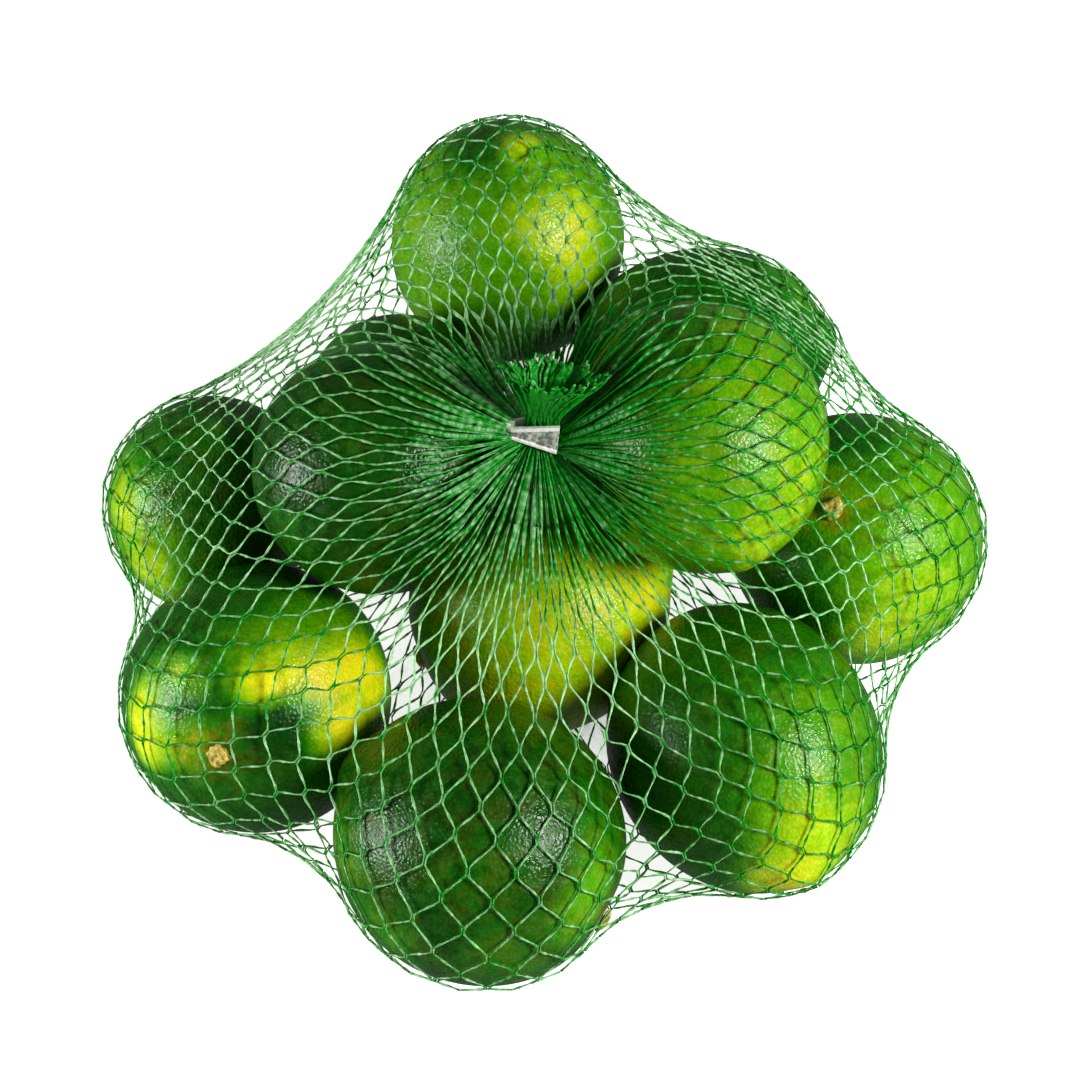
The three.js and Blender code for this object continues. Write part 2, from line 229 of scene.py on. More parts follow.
class StageSettings(bpy.types.PropertyGroup):
    elevation: bpy.props.FloatProperty(
        name="Elevation", description="Camera angle above the floor", default=SEEN_FROM, subtype="ANGLE")
    distance: length_setting("Distance", "Camera to the middle of the bag", 900)
    lens: bpy.props.FloatProperty(
        name="Lens", description="Focal length in millimetres", default=142.5)
    aim: bpy.props.FloatVectorProperty(
        name="Aim", description="Point at the middle of the picture", default=(-0.0015, -0.0025, 0.032),
        subtype="TRANSLATION")
    key_power: bpy.props.FloatProperty(
        name="Key Light", description="Power of the lamp at the right", default=11.6, unit="POWER")
    fill_power: bpy.props.FloatProperty(
        name="Fill Light", description="Power of the lamp at the left", default=9.8, unit="POWER")
    surround: bpy.props.FloatProperty(
        name="Surround", description="Strength of the white studio round the bag", default=0.12)
    floor_glow: bpy.props.FloatProperty(
        name="Floor Glow", description="Light that the backlit floor gives off itself", default=0.95)
    cast_share: bpy.props.FloatProperty(
        name="Cast Share", description="Share of the glow that lights the bag", default=0.55,
        subtype="FACTOR")
    shade_reach: length_setting("Shade Reach", "How near a thing has to be to dim the floor's glow", 45)
    floor_color: color_setting("Floor", "Glow of the pale floor", "#F6F8F4")
    acrylic: color_setting("Acrylic", "The floor's own colour, unlit", "#CACCC8")


# Shape of the fruit and the net


def peel_radius(lime, cos_tip):
    """Distance in millimetres from a lime's centre to its peel, for a cosine measured from the tip."""
    across = (1 - cos_tip ** 2) / (lime["width"] / 2) ** 2
    along = cos_tip ** 2 / (lime["length"] / 2) ** 2
    angle = np.arccos(np.clip(cos_tip, -1, 1))
    nipple = TIP_HEIGHT * np.exp(-((angle / TIP_SPREAD) ** 2))
    dip = STEM_DIP * np.exp(-(((math.pi - angle) / STEM_SPREAD) ** 2))
    return 1 / np.sqrt(across + along) + nipple - dip


def seen_way(across, up):
    """Direction from a lime's centre to a spot that the camera sees, placed in radii of the lime."""
    towards = math.sqrt(max(0, 1 - across ** 2 - up ** 2))
    rise, reach = math.sin(SEEN_FROM), math.cos(SEEN_FROM)
    return np.array([across, up * rise - towards * reach, up * reach + towards * rise])


def seen_blushes(lime):
    """Blushes of the side that the camera sees: direction from the lime's centre, spread and change."""
    return [(seen_way(across, up), spread, change) for across, up, spread, change in lime["blushes"]]


def ripeness_along(lime, ways, blushes):
    """Ripeness of a lime in each direction from its centre."""
    ripeness = np.full(ways.shape[:-1], lime["ripeness"])
    for way, spread, change in blushes:
        angle = np.arccos(np.clip(ways @ way, -1, 1))
        ripeness += change * np.exp(-((angle / spread) ** 3))
    return ripeness


def push_out(points, standoff, speeds=None):
    """Moves points in millimetres out of the limes and the floor, and stops their speed into either."""
    for lime in LIMES.values():
        centre = np.array(lime["at"], float)
        reach = lime["length"] / 2 + TIP_HEIGHT + standoff
        close = np.nonzero(np.sum((points - centre) ** 2, axis=-1) < reach ** 2)
        out = points[close] - centre
        distance = np.linalg.norm(out, axis=-1)
        out /= distance[:, None]
        surface = peel_radius(lime, out @ unit(lime["tip"])) + standoff
        inside = distance < surface
        hit = tuple(index[inside] for index in close)
        out = out[inside]
        points[hit] = centre + out * surface[inside][:, None]
        if speeds is not None:
            speeds[hit] -= out * np.minimum(0, dot(speeds[hit], out))
    low = points[..., 2] < 0
    points[low, 2] = 0
    if speeds is not None:
        speeds[low, 2] = np.maximum(0, speeds[low, 2])


def gather_axes(gather):
    """Centre of a clip, the direction along its neck, and two across it that keep close to X and Y."""
    along = unit(gather["axis"])
    side = unit(np.array([1, 0, 0]) - along * along[0])
    front = np.array([0, 1, 0]) - along * along[1]
    front = unit(front - side * side[1])
    return np.array(gather["at"], float), along, side, front


def gather_points(gather, angle, distance, open_share, depth=1.0):
    """Points round a neck or tail, which opens from 0 in the clip to 1 at the rim. Depth 1 is outside."""
    centre, along, side, front = gather_axes(gather)
    wide, deep = (neck + (rim - neck) * open_share for neck, rim in zip(NECK_RADII, gather["flare"]))
    fold = 1 + FOLD_DEPTH * open_share * np.cos(TAIL_FOLDS * angle)
    wedge = 1 + NECK_WEDGE * (1 - open_share) * np.cos(angle)
    sideways = depth * wide * fold * np.cos(angle)
    sideways = sideways + NECK_SHIFT * (1 - open_share) + gather["lean"] * open_share
    forwards = depth * deep * fold * wedge * np.sin(angle)
    terms = ((distance, along), (sideways, side), (forwards, front))
    return centre + sum(np.asarray(amount)[..., None] * direction for amount, direction in terms)


def drape_net():
    """Knots of the net drawn tight over the limes, row by row, in millimetres."""
    row, column = np.meshgrid(np.arange(ROWS + 1), np.arange(COLUMNS), indexing="ij")
    down = math.pi * (row + 0.5) / (ROWS + 1)
    around = 2 * math.pi * (column + (row % 2) / 2) / COLUMNS
    knots = np.stack([
        START_RADII[0] * np.sin(down) * np.cos(around),
        START_RADII[1] * np.sin(down) * np.sin(around),
        START_HEIGHT + START_RADII[2] * np.cos(down),
    ], axis=-1)
    pinned = np.full(COLUMNS, -float(NECK_REACH))
    knots[0] = gather_points(TOP_GATHER, around[0], pinned, 0.0)
    knots[ROWS] = gather_points(BOTTOM_GATHER, around[0], pinned, 0.0)
    speeds = np.zeros_like(knots)
    even = (np.arange(1, ROWS) % 2 == 0)[:, None, None]
    neck = knots[0].mean(axis=0)
    right, up = seen_way(1, 0), seen_way(0, 1)
    grip = SPREAD_PULL * np.clip((SPREAD_ROWS[1] - row[1:-1]) / (SPREAD_ROWS[1] - SPREAD_ROWS[0]), 0, 1)
    for _ in range(RELAX_STEPS):
        pull = np.zeros_like(knots[1:-1])
        for ends in (knots[:-2], knots[2:]):
            beside = np.where(even, np.roll(ends, 1, axis=1), np.roll(ends, -1, axis=1))
            for end in (ends, beside):
                leg = end - knots[1:-1]
                length = np.linalg.norm(leg, axis=-1, keepdims=True)
                pull += leg * np.maximum(0, 1 - SLACK_LEG / length)
        across, above = (knots[1:-1] - neck) @ right, (knots[1:-1] - neck) @ up
        turn = (around[1:-1] - np.arctan2(above, across) + math.pi) % (2 * math.pi) - math.pi
        turn = np.clip(turn, -SPREAD_MOST, SPREAD_MOST) * grip
        pull += (turn * across)[..., None] * up - (turn * above)[..., None] * right
        speeds[1:-1] = speeds[1:-1] * GLIDE + pull * PULL
        knots[1:-1] += speeds[1:-1]
        push_out(knots[1:-1], NET_STANDOFF, speeds[1:-1])
    return knots


def knot_frames(knots):
    """At each knot, unit vectors down the net, sideways in it and out of it."""
    row = np.arange(ROWS + 1)
    even = (row % 2 == 0)[:, None, None]

    def pair_mean(rows):
        """Mean of the two knots in a neighbouring row that a knot's legs lead to."""
        return (rows + np.where(even, np.roll(rows, 1, axis=1), np.roll(rows, -1, axis=1))) / 2

    above = pair_mean(knots[np.maximum(row - 1, 0)])
    below = pair_mean(knots[np.minimum(row + 1, ROWS)])
    above[0] = knots[0]
    below[ROWS] = knots[ROWS]
    down = unit(below - above)
    sideways = np.roll(knots, -1, axis=1) - np.roll(knots, 1, axis=1)
    out = unit(np.cross(down, sideways))
    return down, np.cross(out, down), out


def joints_and_legs(starts, ends, legs):
    """Values along every strand: at each joint's start and end, and in the middle of the leg after it."""
    values = np.empty((starts.shape[0], 3 * starts.shape[1] - 1, starts.shape[2]))
    values[:, 0::3], values[:, 1::3], values[:, 2::3] = starts, ends, legs
    return values


def lengths_along(lines):
    """Length along each line up to every one of its points."""
    return np.cumsum(np.linalg.norm(np.diff(lines, axis=1, prepend=lines[:, :1]), axis=-1), axis=1)


def smooth_path(points, steps):
    """A smooth curve through points of every path at once: steps[k] pieces between points k and k + 1."""
    padded = np.concatenate([points[:, :1], points, points[:, -1:]], axis=1)
    curve = []
    for k, count in enumerate(steps):
        before, here, there, after = (padded[:, k + n] for n in range(4))
        for share in np.arange(count) / count:
            square, cube = share ** 2, share ** 3
            curve.append(0.5 * (
                2 * here + (there - before) * share
                + (2 * before - 5 * here + 4 * there - after) * square
                + (3 * here - before - 3 * there + after) * cube
            ))
    curve.append(points[:, -1])
    return np.stack(curve, axis=1)


# Meshes and materials


def new_piece(name, vertices, faces, material):
    """A smooth mesh object in metres from points in millimetres, riding on the bag."""
    mesh = bpy.data.meshes.new(name)
    mesh.from_pydata((np.asarray(vertices) * MM).tolist(), [], faces)
    mesh.validate()
    mesh.shade_smooth()
    mesh.materials.append(material)
    piece = bpy.data.objects.new(name, mesh)
    bpy.context.collection.objects.link(piece)
    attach(piece, "root")
    return piece


def paint(piece, name, values):
    """Stores a value at every point of a piece, for its material to read."""
    piece.data.attributes.new(name, "FLOAT", "POINT").data.foreach_set("value", values)


def add_node(tree, kind, settings=(), links=(), stops=()):
    """Adds a node: settings by socket or property name, links by socket, and stops of a colour ramp."""
    node = tree.nodes.new(kind)
    for name, value in dict(settings).items():
        if isinstance(name, int) or name in node.inputs:
            node.inputs[name].default_value = value
        else:
            setattr(node, name, value)
    for name, source in dict(links).items():
        tree.links.new(source, node.inputs[name])
    for index, (place, color) in enumerate(stops):
        elements = node.color_ramp.elements
        element = elements[index] if index < len(elements) else elements.new(place)
        element.position = place
        element.color = color
    return node


def new_material(name):
    """A node material, its tree, its surface shader and the object's own coordinates."""
    material = bpy.data.materials.new(name)
    material.use_nodes = True
    tree = material.node_tree
    place = add_node(tree, "ShaderNodeTexCoord").outputs["Object"]
    return material, tree, tree.nodes["Principled BSDF"], place


def per_millimetre(size):
    """Texture scale whose features are about this many millimetres across."""
    return 1 / (size * MM)


# How far each pattern swings the peel's ripeness, and how gloss and browning follow theirs
CLOUD_SWING = 0.32
MOTTLE_SWING = 0.28
GLAND_SWING = -0.16
GLAND_MIDDLE = 0.06
RUB_NOISE = (0.42, 0.68)
RUB_SHARES = (0.2, 3.0)
GLOSS_NOISE = (0.36, 0.64)
GLOSS_ROUGHNESS = (0.12, 0.4)
PORE_SHARE = 0.8


def lime_peel(settings):
    """Waxed lime peel, grown: colour turns in soft clouds, and oil glands break the gloss into grains."""
    material, tree, surface, place = new_material("waxed_lime_peel")
    ripeness = add_node(tree, "ShaderNodeAttribute", {"attribute_name": "ripeness"}).outputs["Fac"]
    browning = add_node(tree, "ShaderNodeAttribute", {"attribute_name": "browning"}).outputs["Fac"]
    clouds = add_node(
        tree, "ShaderNodeTexNoise", {"Scale": per_millimetre(14), "Detail": 4.0}, {"Vector": place})
    mottle = add_node(
        tree, "ShaderNodeTexNoise", {"Scale": per_millimetre(2.4), "Detail": 3.0}, {"Vector": place})
    rubs = add_node(
        tree, "ShaderNodeTexNoise", {"Scale": per_millimetre(5), "Detail": 3.0}, {"Vector": place})
    pores = add_node(
        tree, "ShaderNodeTexNoise", {"Scale": per_millimetre(0.5), "Detail": 2.0}, {"Vector": place})
    glands = add_node(
        tree, "ShaderNodeTexVoronoi",
        {"feature": "SMOOTH_F1", "Scale": 1 / settings.gland_spacing, "Smoothness": 0.4, "Randomness": 0.9},
        {"Vector": place})
    cloudy = add_node(
        tree, "ShaderNodeMath", {"operation": "MULTIPLY_ADD", 1: CLOUD_SWING, 2: -CLOUD_SWING / 2},
        {0: clouds.outputs["Fac"]})
    mottled = add_node(
        tree, "ShaderNodeMath", {"operation": "MULTIPLY_ADD", 1: MOTTLE_SWING, 2: -MOTTLE_SWING / 2},
        {0: mottle.outputs["Fac"]})
    dotted = add_node(
        tree, "ShaderNodeMath", {"operation": "MULTIPLY_ADD", 1: GLAND_SWING, 2: GLAND_MIDDLE},
        {0: glands.outputs["Distance"]})
    turned = add_node(tree, "ShaderNodeMath", {}, {0: ripeness, 1: cloudy.outputs[0]})
    grained = add_node(tree, "ShaderNodeMath", {}, {0: mottled.outputs[0], 1: dotted.outputs[0]})
    total = add_node(
        tree, "ShaderNodeMath", {"use_clamp": True}, {0: turned.outputs[0], 1: grained.outputs[0]})
    color = add_node(tree, "ShaderNodeValToRGB", {}, {"Fac": total.outputs[0]}, [
        (0.0, settings.deep_green), (1.0, settings.yellow), (0.25, settings.leaf_green),
        (0.5, settings.lime_green), (0.75, settings.light_green)])
    rubbed = add_node(
        tree, "ShaderNodeMapRange", {
            "From Min": RUB_NOISE[0], "From Max": RUB_NOISE[1],
            "To Min": RUB_SHARES[0], "To Max": RUB_SHARES[1]},
        {"Value": rubs.outputs["Fac"]})
    browned = add_node(
        tree, "ShaderNodeMath", {"operation": "MULTIPLY", "use_clamp": True},
        {0: browning, 1: rubbed.outputs["Result"]})
    worn = add_node(
        tree, "ShaderNodeHueSaturation", {"Hue": settings.tan_turn, "Value": 0.88},
        {"Fac": browned.outputs[0], "Color": color.outputs["Color"]})
    tree.links.new(worn.outputs["Color"], surface.inputs["Base Color"])
    skin = add_node(
        tree, "ShaderNodeMath", {"operation": "MULTIPLY_ADD", 1: PORE_SHARE},
        {0: pores.outputs["Fac"], 2: glands.outputs["Distance"]})
    dimples = add_node(
        tree, "ShaderNodeBump", {"Strength": 1.0, "Distance": settings.gland_depth},
        {"Height": skin.outputs[0]})
    tree.links.new(dimples.outputs["Normal"], surface.inputs["Normal"])
    gloss = add_node(
        tree, "ShaderNodeMapRange", {
            "From Min": GLOSS_NOISE[0], "From Max": GLOSS_NOISE[1],
            "To Min": GLOSS_ROUGHNESS[0], "To Max": GLOSS_ROUGHNESS[1]},
        {"Value": mottle.outputs["Fac"]})
    tree.links.new(gloss.outputs["Result"], surface.inputs["Roughness"])
    surface.inputs["IOR"].default_value = 1.46
    surface.inputs["Specular IOR Level"].default_value = 0.25
    return material


BEAD_SWING = 0.1  # of the tape's paleness along each knitted loop: a painted glint on every loop
STREAK_SWING = 1.2  # of its paleness from streak to streak: random tone, with painted glints and shade along the strands


def net_tape(settings):
    """Knitted polyethylene tape: green beads that let light in, pale where stretched, with painted light,
    shade and glints.
    """
    material, tree, surface, place = new_material("drawn_polyethylene_tape")
    drawn = add_node(tree, "ShaderNodeAttribute", {"attribute_name": "drawn"}).outputs["Fac"]
    run = add_node(tree, "ShaderNodeAttribute", {"attribute_name": "run"}).outputs["Fac"]
    streaks = add_node(
        tree, "ShaderNodeTexNoise", {"Scale": per_millimetre(2), "Detail": 2.0}, {"Vector": place})
    turns = add_node(
        tree, "ShaderNodeMath", {"operation": "MULTIPLY", 1: 2 * math.pi / settings.bead_pitch}, {0: run})
    wave = add_node(tree, "ShaderNodeMath", {"operation": "SINE"}, {0: turns.outputs[0]})
    beads = add_node(
        tree, "ShaderNodeMath", {"operation": "MULTIPLY_ADD", 1: BEAD_SWING}, {0: wave.outputs[0], 2: drawn})
    shift = add_node(
        tree, "ShaderNodeMath", {"operation": "MULTIPLY_ADD", 1: STREAK_SWING, 2: -STREAK_SWING / 2},
        {0: streaks.outputs["Fac"]})
    paleness = add_node(
        tree, "ShaderNodeMath", {"use_clamp": True}, {0: beads.outputs[0], 1: shift.outputs[0]})
    color = add_node(tree, "ShaderNodeValToRGB", {}, {"Fac": paleness.outputs[0]}, [
        (0.05, settings.green), (0.95, settings.pale)])
    tree.links.new(color.outputs["Color"], surface.inputs["Base Color"])
    bumps = add_node(
        tree, "ShaderNodeBump", {"Strength": 0.5, "Distance": 0.15 * MM}, {"Height": wave.outputs[0]})
    tree.links.new(bumps.outputs["Normal"], surface.inputs["Normal"])
    surface.inputs["Roughness"].default_value = 0.35
    surface.inputs["IOR"].default_value = 1.51
    surface.inputs["Specular IOR Level"].default_value = 0.2
    surface.inputs["Subsurface Weight"].default_value = 0.45
    surface.inputs["Subsurface Radius"].default_value = (0.7, 1.0, 0.6)
    surface.inputs["Subsurface Scale"].default_value = settings.glow_depth
    return material


def stem_button(settings):
    """Dry stem button, grown: dull straw with dark cracks."""
    material, tree, surface, place = new_material("dry_stem_button")
    cracks = add_node(
        tree, "ShaderNodeTexNoise", {"Scale": per_millimetre(0.8), "Detail": 3.0}, {"Vector": place})
    color = add_node(tree, "ShaderNodeValToRGB", {}, {"Fac": cracks.outputs["Fac"]}, [
        (0.35, settings.stem_cracks), (0.65, settings.stem_crust)])
    tree.links.new(color.outputs["Color"], surface.inputs["Base Color"])
    bump = add_node(
        tree, "ShaderNodeBump", {"Strength": 0.7, "Distance": 0.2 * MM}, {"Height": cracks.outputs["Fac"]})
    tree.links.new(bump.outputs["Normal"], surface.inputs["Normal"])
    surface.inputs["Roughness"].default_value = 0.75
    return material


EDGE_PAINTED_HIGHLIGHT = 0.6  # how much paler the raised edges are painted: a painted highlight along them


def crimped_aluminium(settings):
    """Aluminium strip, crimped: the press's fine scuffs, painted highlights on its raised edges and painted
    shade on its web.
    """
    material, tree, surface, place = new_material("crimped_aluminium")
    scuffs = add_node(
        tree, "ShaderNodeTexNoise", {"Scale": per_millimetre(0.9), "Detail": 3.0}, {"Vector": place})
    rough = add_node(
        tree, "ShaderNodeMapRange", {"To Min": 0.3, "To Max": 0.6}, {"Value": scuffs.outputs["Fac"]})
    tree.links.new(rough.outputs["Result"], surface.inputs["Roughness"])
    bump = add_node(
        tree, "ShaderNodeBump", {"Strength": 1.0, "Distance": 0.3 * MM}, {"Height": scuffs.outputs["Fac"]})
    tree.links.new(bump.outputs["Normal"], surface.inputs["Normal"])
    edge = add_node(tree, "ShaderNodeAttribute", {"attribute_name": "edge"}).outputs["Fac"]
    bright = add_node(
        tree, "ShaderNodeMath", {"operation": "MULTIPLY_ADD", 1: EDGE_PAINTED_HIGHLIGHT},
        {0: edge, 2: scuffs.outputs["Fac"]})
    # painted highlight on the raised edges; painted shade and scuffs mottle the web
    color = add_node(tree, "ShaderNodeValToRGB", {}, {"Fac": bright.outputs[0]}, [
        (0.4, settings.rubbed), (0.85, settings.metal)])
    tree.links.new(color.outputs["Color"], surface.inputs["Base Color"])
    surface.inputs["Metallic"].default_value = 0.25
    return material


GLOW_SHADE_SHARES = (0.015, 0.05)  # of the room over the floor, where its glow starts and where it is full: painted shade under the fruit


def studio_floor(settings):
    """Opal acrylic table, cast: pale and matt, softly lit from below, with painted shade where fruit crowds
    over it.
    """
    material, tree, surface, place = new_material("opal_acrylic_table")
    grain = add_node(tree, "ShaderNodeTexNoise", {"Scale": per_millimetre(3)}, {"Vector": place})
    bump = add_node(
        tree, "ShaderNodeBump", {"Strength": 0.05, "Distance": 0.1 * MM}, {"Height": grain.outputs["Fac"]})
    tree.links.new(bump.outputs["Normal"], surface.inputs["Normal"])
    surface.inputs["Base Color"].default_value = settings.acrylic
    surface.inputs["Roughness"].default_value = 0.8
    surface.inputs["Emission Color"].default_value = settings.floor_color
    # painted shade: ambient occlusion fades the glow under and between the fruit
    room = add_node(tree, "ShaderNodeAmbientOcclusion", {"Distance": settings.shade_reach})
    glow = add_node(
        tree, "ShaderNodeMapRange",
        {"From Min": GLOW_SHADE_SHARES[0], "From Max": GLOW_SHADE_SHARES[1], "To Max": settings.floor_glow},
        {"Value": room.outputs["AO"]})
    path = add_node(tree, "ShaderNodeLightPath").outputs
    share = add_node(
        tree, "ShaderNodeMath", {"operation": "MULTIPLY_ADD", 1: settings.cast_share},
        {0: path["Is Diffuse Ray"], 2: path["Is Camera Ray"]})
    strength = add_node(
        tree, "ShaderNodeMath", {"operation": "MULTIPLY"}, {0: glow.outputs["Result"], 1: share.outputs[0]})
    tree.links.new(strength.outputs[0], surface.inputs["Emission Strength"])
    return material


# Operators


FRUIT_SEED = 3
LIME_RINGS = 72
LIME_SPOKES = 108
POLE_CROWDING = 0.55  # how much closer the rings lie at the tip and the stem
FLAT_SPOT = 0.6  # millimetres over the floor, with the net below
WAVES = 5
SHAPE_WAVES = (2.5, 5)  # radians of the soft flats' waves across one radius
COLOR_WAVES = (1.5, 5)  # the same for the waves that fray the blushes
PHASES = (0, 6)  # where the waves start, in radians
FRAY = 0.16  # of a radius
HIDDEN_BLUSHES = 3
HIDDEN_TURN = 0.5  # how far they are moved away from the camera's side
HIDDEN_SPREADS = (0.3, 0.6)  # radians
HIDDEN_CHANGES = (-0.15, 0.4)
STEM_HALO = 0.21  # radians of brown peel round the stem
RUB = 0.04  # browning that all peel has
HELPER_WAY = (0.31, 0.62, -0.72)  # any way that no tip points along


class LIMES_OT_grow_fruit(bpy.types.Operator):
    """Grows every lime with its tip, stem hollow, soft flats and ripeness"""

    bl_idname = "limes.grow_fruit"
    bl_label = "Grow Fruit"

    def execute(self, context):
        settings = context.scene.lime_peel
        material = lime_peel(settings)
        draw = np.random.default_rng(FRUIT_SEED)
        for name, lime in LIMES.items():
            self.grow(name, lime, settings, material, draw)
        return {"FINISHED"}

    def grow(self, name, lime, settings, material, draw):
        """One lime, ring by ring from its tip to its stem, with its ripeness and browning."""
        share = np.arange(1, LIME_RINGS) / LIME_RINGS
        polar = math.pi * share - POLE_CROWDING / 2 * np.sin(2 * math.pi * share)
        turn = 2 * math.pi * np.arange(LIME_SPOKES) / LIME_SPOKES
        tip = unit(lime["tip"])
        side = unit(np.cross(tip, HELPER_WAY))
        front = np.cross(tip, side)
        rings = (
            np.cos(polar)[:, None, None] * tip
            + np.sin(polar)[:, None, None] * (
                np.cos(turn)[None, :, None] * side + np.sin(turn)[None, :, None] * front)
        )
        ways = np.concatenate([tip[None], rings.reshape(-1, 3), -tip[None]])
        radius = peel_radius(lime, ways @ tip)
        for _ in range(WAVES):
            slope = unit(draw.normal(size=3)) * draw.uniform(*SHAPE_WAVES)
            wave = np.sin(ways @ slope + draw.uniform(*PHASES))
            radius -= settings.unevenness / MM / WAVES * (1 + wave)
        points = np.array(lime["at"]) + ways * radius[:, None]
        self.press_flat(lime, points)
        points[:, 2] = np.maximum(points[:, 2], FLAT_SPOT)
        piece = new_piece(f"lime_{name}", points, self.faces(), material)
        stem_angle = np.arccos(np.clip(-(ways @ tip), -1, 1))
        browning = RUB + lime["browning"] + np.exp(-((stem_angle / STEM_HALO) ** 2))
        paint(piece, "ripeness", self.ripeness(lime, ways, draw))
        paint(piece, "browning", browning)
        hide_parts("net_bag")

    def press_flat(self, lime, points):
        """Flattens a lime where a neighbour is pressed on it, halfway through what the two would share."""
        centre = np.array(lime["at"])
        for other in LIMES.values():
            if other is lime:
                continue
            way = np.array(other["at"]) - centre
            apart = np.linalg.norm(way)
            way /= apart
            reach = peel_radius(lime, way @ unit(lime["tip"]))
            shared = reach + peel_radius(other, -way @ unit(other["tip"])) - apart
            if shared > 0:
                past = (points - centre) @ way - (reach - shared / 2)
                points -= way * np.maximum(0, past)[:, None]

    def ripeness(self, lime, ways, draw):
        """Ripeness over a lime: its blushes, and a few more on the sides that the camera doesn't see."""
        frayed = ways.copy()
        for _ in range(WAVES):
            slope = draw.normal(size=(3, 3)) * draw.uniform(*COLOR_WAVES)
            frayed += FRAY / WAVES * np.sin(ways @ slope + draw.uniform(*PHASES, 3))
        frayed = unit(frayed)
        spots = seen_blushes(lime)
        camera_way = seen_way(0, 0)
        for _ in range(HIDDEN_BLUSHES):
            way = unit(draw.normal(size=3))
            way -= camera_way * (max(0, way @ camera_way) + HIDDEN_TURN)
            spots.append((unit(way), draw.uniform(*HIDDEN_SPREADS), draw.uniform(*HIDDEN_CHANGES)))
        return ripeness_along(lime, frayed, spots)

    def faces(self):
        """Faces of one lime, with a fan at the tip and at the stem."""
        last = 1 + (LIME_RINGS - 1) * LIME_SPOKES
        faces = []
        for s in range(LIME_SPOKES):
            t = (s + 1) % LIME_SPOKES
            faces.append((0, 1 + s, 1 + t))
            for r in range(LIME_RINGS - 2):
                here, there = 1 + r * LIME_SPOKES, 1 + (r + 1) * LIME_SPOKES
                faces.append((here + s, there + s, there + t, here + t))
            here = last - LIME_SPOKES
            faces.append((last, here + t, here + s))
        return faces


# Outline of a stem's button, from its middle to its rim: radii of the button, and millimetres off the peel
STEM_PROFILE = [(0.0, 0.75), (0.35, 0.7), (0.5, 0.95), (0.8, 0.8), (1.0, 0.35), (1.05, -0.4)]
STEM_SEED = 11
STEM_SPOKES = 20
STEM_LOBES = (0.8, 1.2)  # radii of the button's ragged rim
LEAST_SLOPE = 0.5  # taken for a tip that lies flatter, where its stem is lifted off the floor


class LIMES_OT_fit_stems(bpy.types.Operator):
    """Sets a dry button into the stem hollow of every lime"""

    bl_idname = "limes.fit_stems"
    bl_label = "Fit Stems"

    def execute(self, context):
        settings = context.scene.lime_peel
        material = stem_button(settings)
        draw = np.random.default_rng(STEM_SEED)
        vertices, faces = [], []
        height = max(rise for _, rise in STEM_PROFILE)
        for lime in LIMES.values():
            tip = unit(lime["tip"])
            side = unit(np.cross(tip, HELPER_WAY))
            front = np.cross(tip, side)
            foot = np.array(lime["at"]) - tip * peel_radius(lime, np.array(-1.0))
            foot += tip * max(0, FLAT_SPOT + height - foot[2]) / max(tip[2], LEAST_SLOPE)
            start = len(vertices)
            vertices.append(foot - tip * STEM_PROFILE[0][1])
            lobes = draw.uniform(*STEM_LOBES, STEM_SPOKES)
            for reach, rise in STEM_PROFILE[1:]:
                for s in range(STEM_SPOKES):
                    turn = 2 * math.pi * s / STEM_SPOKES
                    out = (math.cos(turn) * side - math.sin(turn) * front) * reach * lobes[s]
                    vertices.append(foot + out * settings.stem_width / MM / 2 - tip * rise)
            for s in range(STEM_SPOKES):
                t = (s + 1) % STEM_SPOKES
                faces.append((start, start + 1 + s, start + 1 + t))
                for ring in range(len(STEM_PROFILE) - 2):
                    here = start + 1 + ring * STEM_SPOKES
                    faces.append((here + s, here + STEM_SPOKES + s, here + STEM_SPOKES + t, here + t))
        new_piece("lime_stems", vertices, faces, material)
        return {"FINISHED"}


# Strands of the net, in millimetres and shares of paleness
SECTION_SIDES = 6
STRAND_PIECES = 2
STRAND_SHIFT = 0.25  # of a column, to either side of the knot that two strands start from
JOINT_GAP = 0.4  # of the tape's width, from the middle of a joint to either strand
JOINT_CROWDING = 0.25  # the most of it, as a share of the way to the next knot
JOINT_STEPS = 1  # stretches along a joint
LEG_STEPS = 2  # stretches along each half of a leg, and between two points of a tail
PRESSED_STANDOFF = 0.7 * NET_STANDOFF  # middle of the finished strands above the peel
TWISTS = (0.6, 1.4)  # of the usual twist, from strand to strand
FREE_REACH = 22  # from each clip, in which the strands run straight, without joints
PLEATS = ((9, 0.3, 0.4), (14, 0.3, 2.1), (23, 0.25, 5.0))  # count, strength and turn of the gather's folds
PLEAT_REACH = 34
BACK_FAN = 0.6  # share by which the folds reach further behind the clip
PLEAT_RISE = 1.1
KNOT_DRIFT = (0.35, 0.22)  # down the net and sideways
TAIL_STEPS = (1.0, 0.86, 0.7, 0.54, 0.38, 0.22, 0.08)  # shares of the tail's length, from the cut rim
TAIL_CUTS = (0.88, 1.06)  # length that the cut leaves each strand
TAIL_DEPTHS = (0.8, 1.0)
TAIL_ZIGZAG = 0.5  # of the half angle between columns
TAIL_OPENING = 0.86
LONGEST_OPENING = 1.05  # share of the length from which a strand opens no further
CUT_STRAY = 0.5
CUT_FLARE = (-0.3, 0.9)
NECK_STEPS = (3.2, 0.8)
NECK_EXIT = (-1.6, -0.9)  # under the clip's middle, and how much lower at its open side
NECK_FILL = (0.1, 1.0)  # shares of the neck's section
TAIL_BREADTH = 2.8  # of the tape, where nothing draws it narrow
FAN_BREADTH = 3.0
TINT = 0.16
TINT_SPREAD = (-0.12, 0.16)
JOINT_PALE = 0.05
LEG_PALE = 0.48  # paler between the joints, where the tape is drawn thin
BACKED_SHADE = 0.6  # deeper green where the peel behind the strand is riper
OPEN_PAINTED_LIGHT = 0.46  # painted light: paler where the net spans a gap, away from the peel
OPEN_GAPS = (5, 11)  # to the peel, where that starts and where it is full
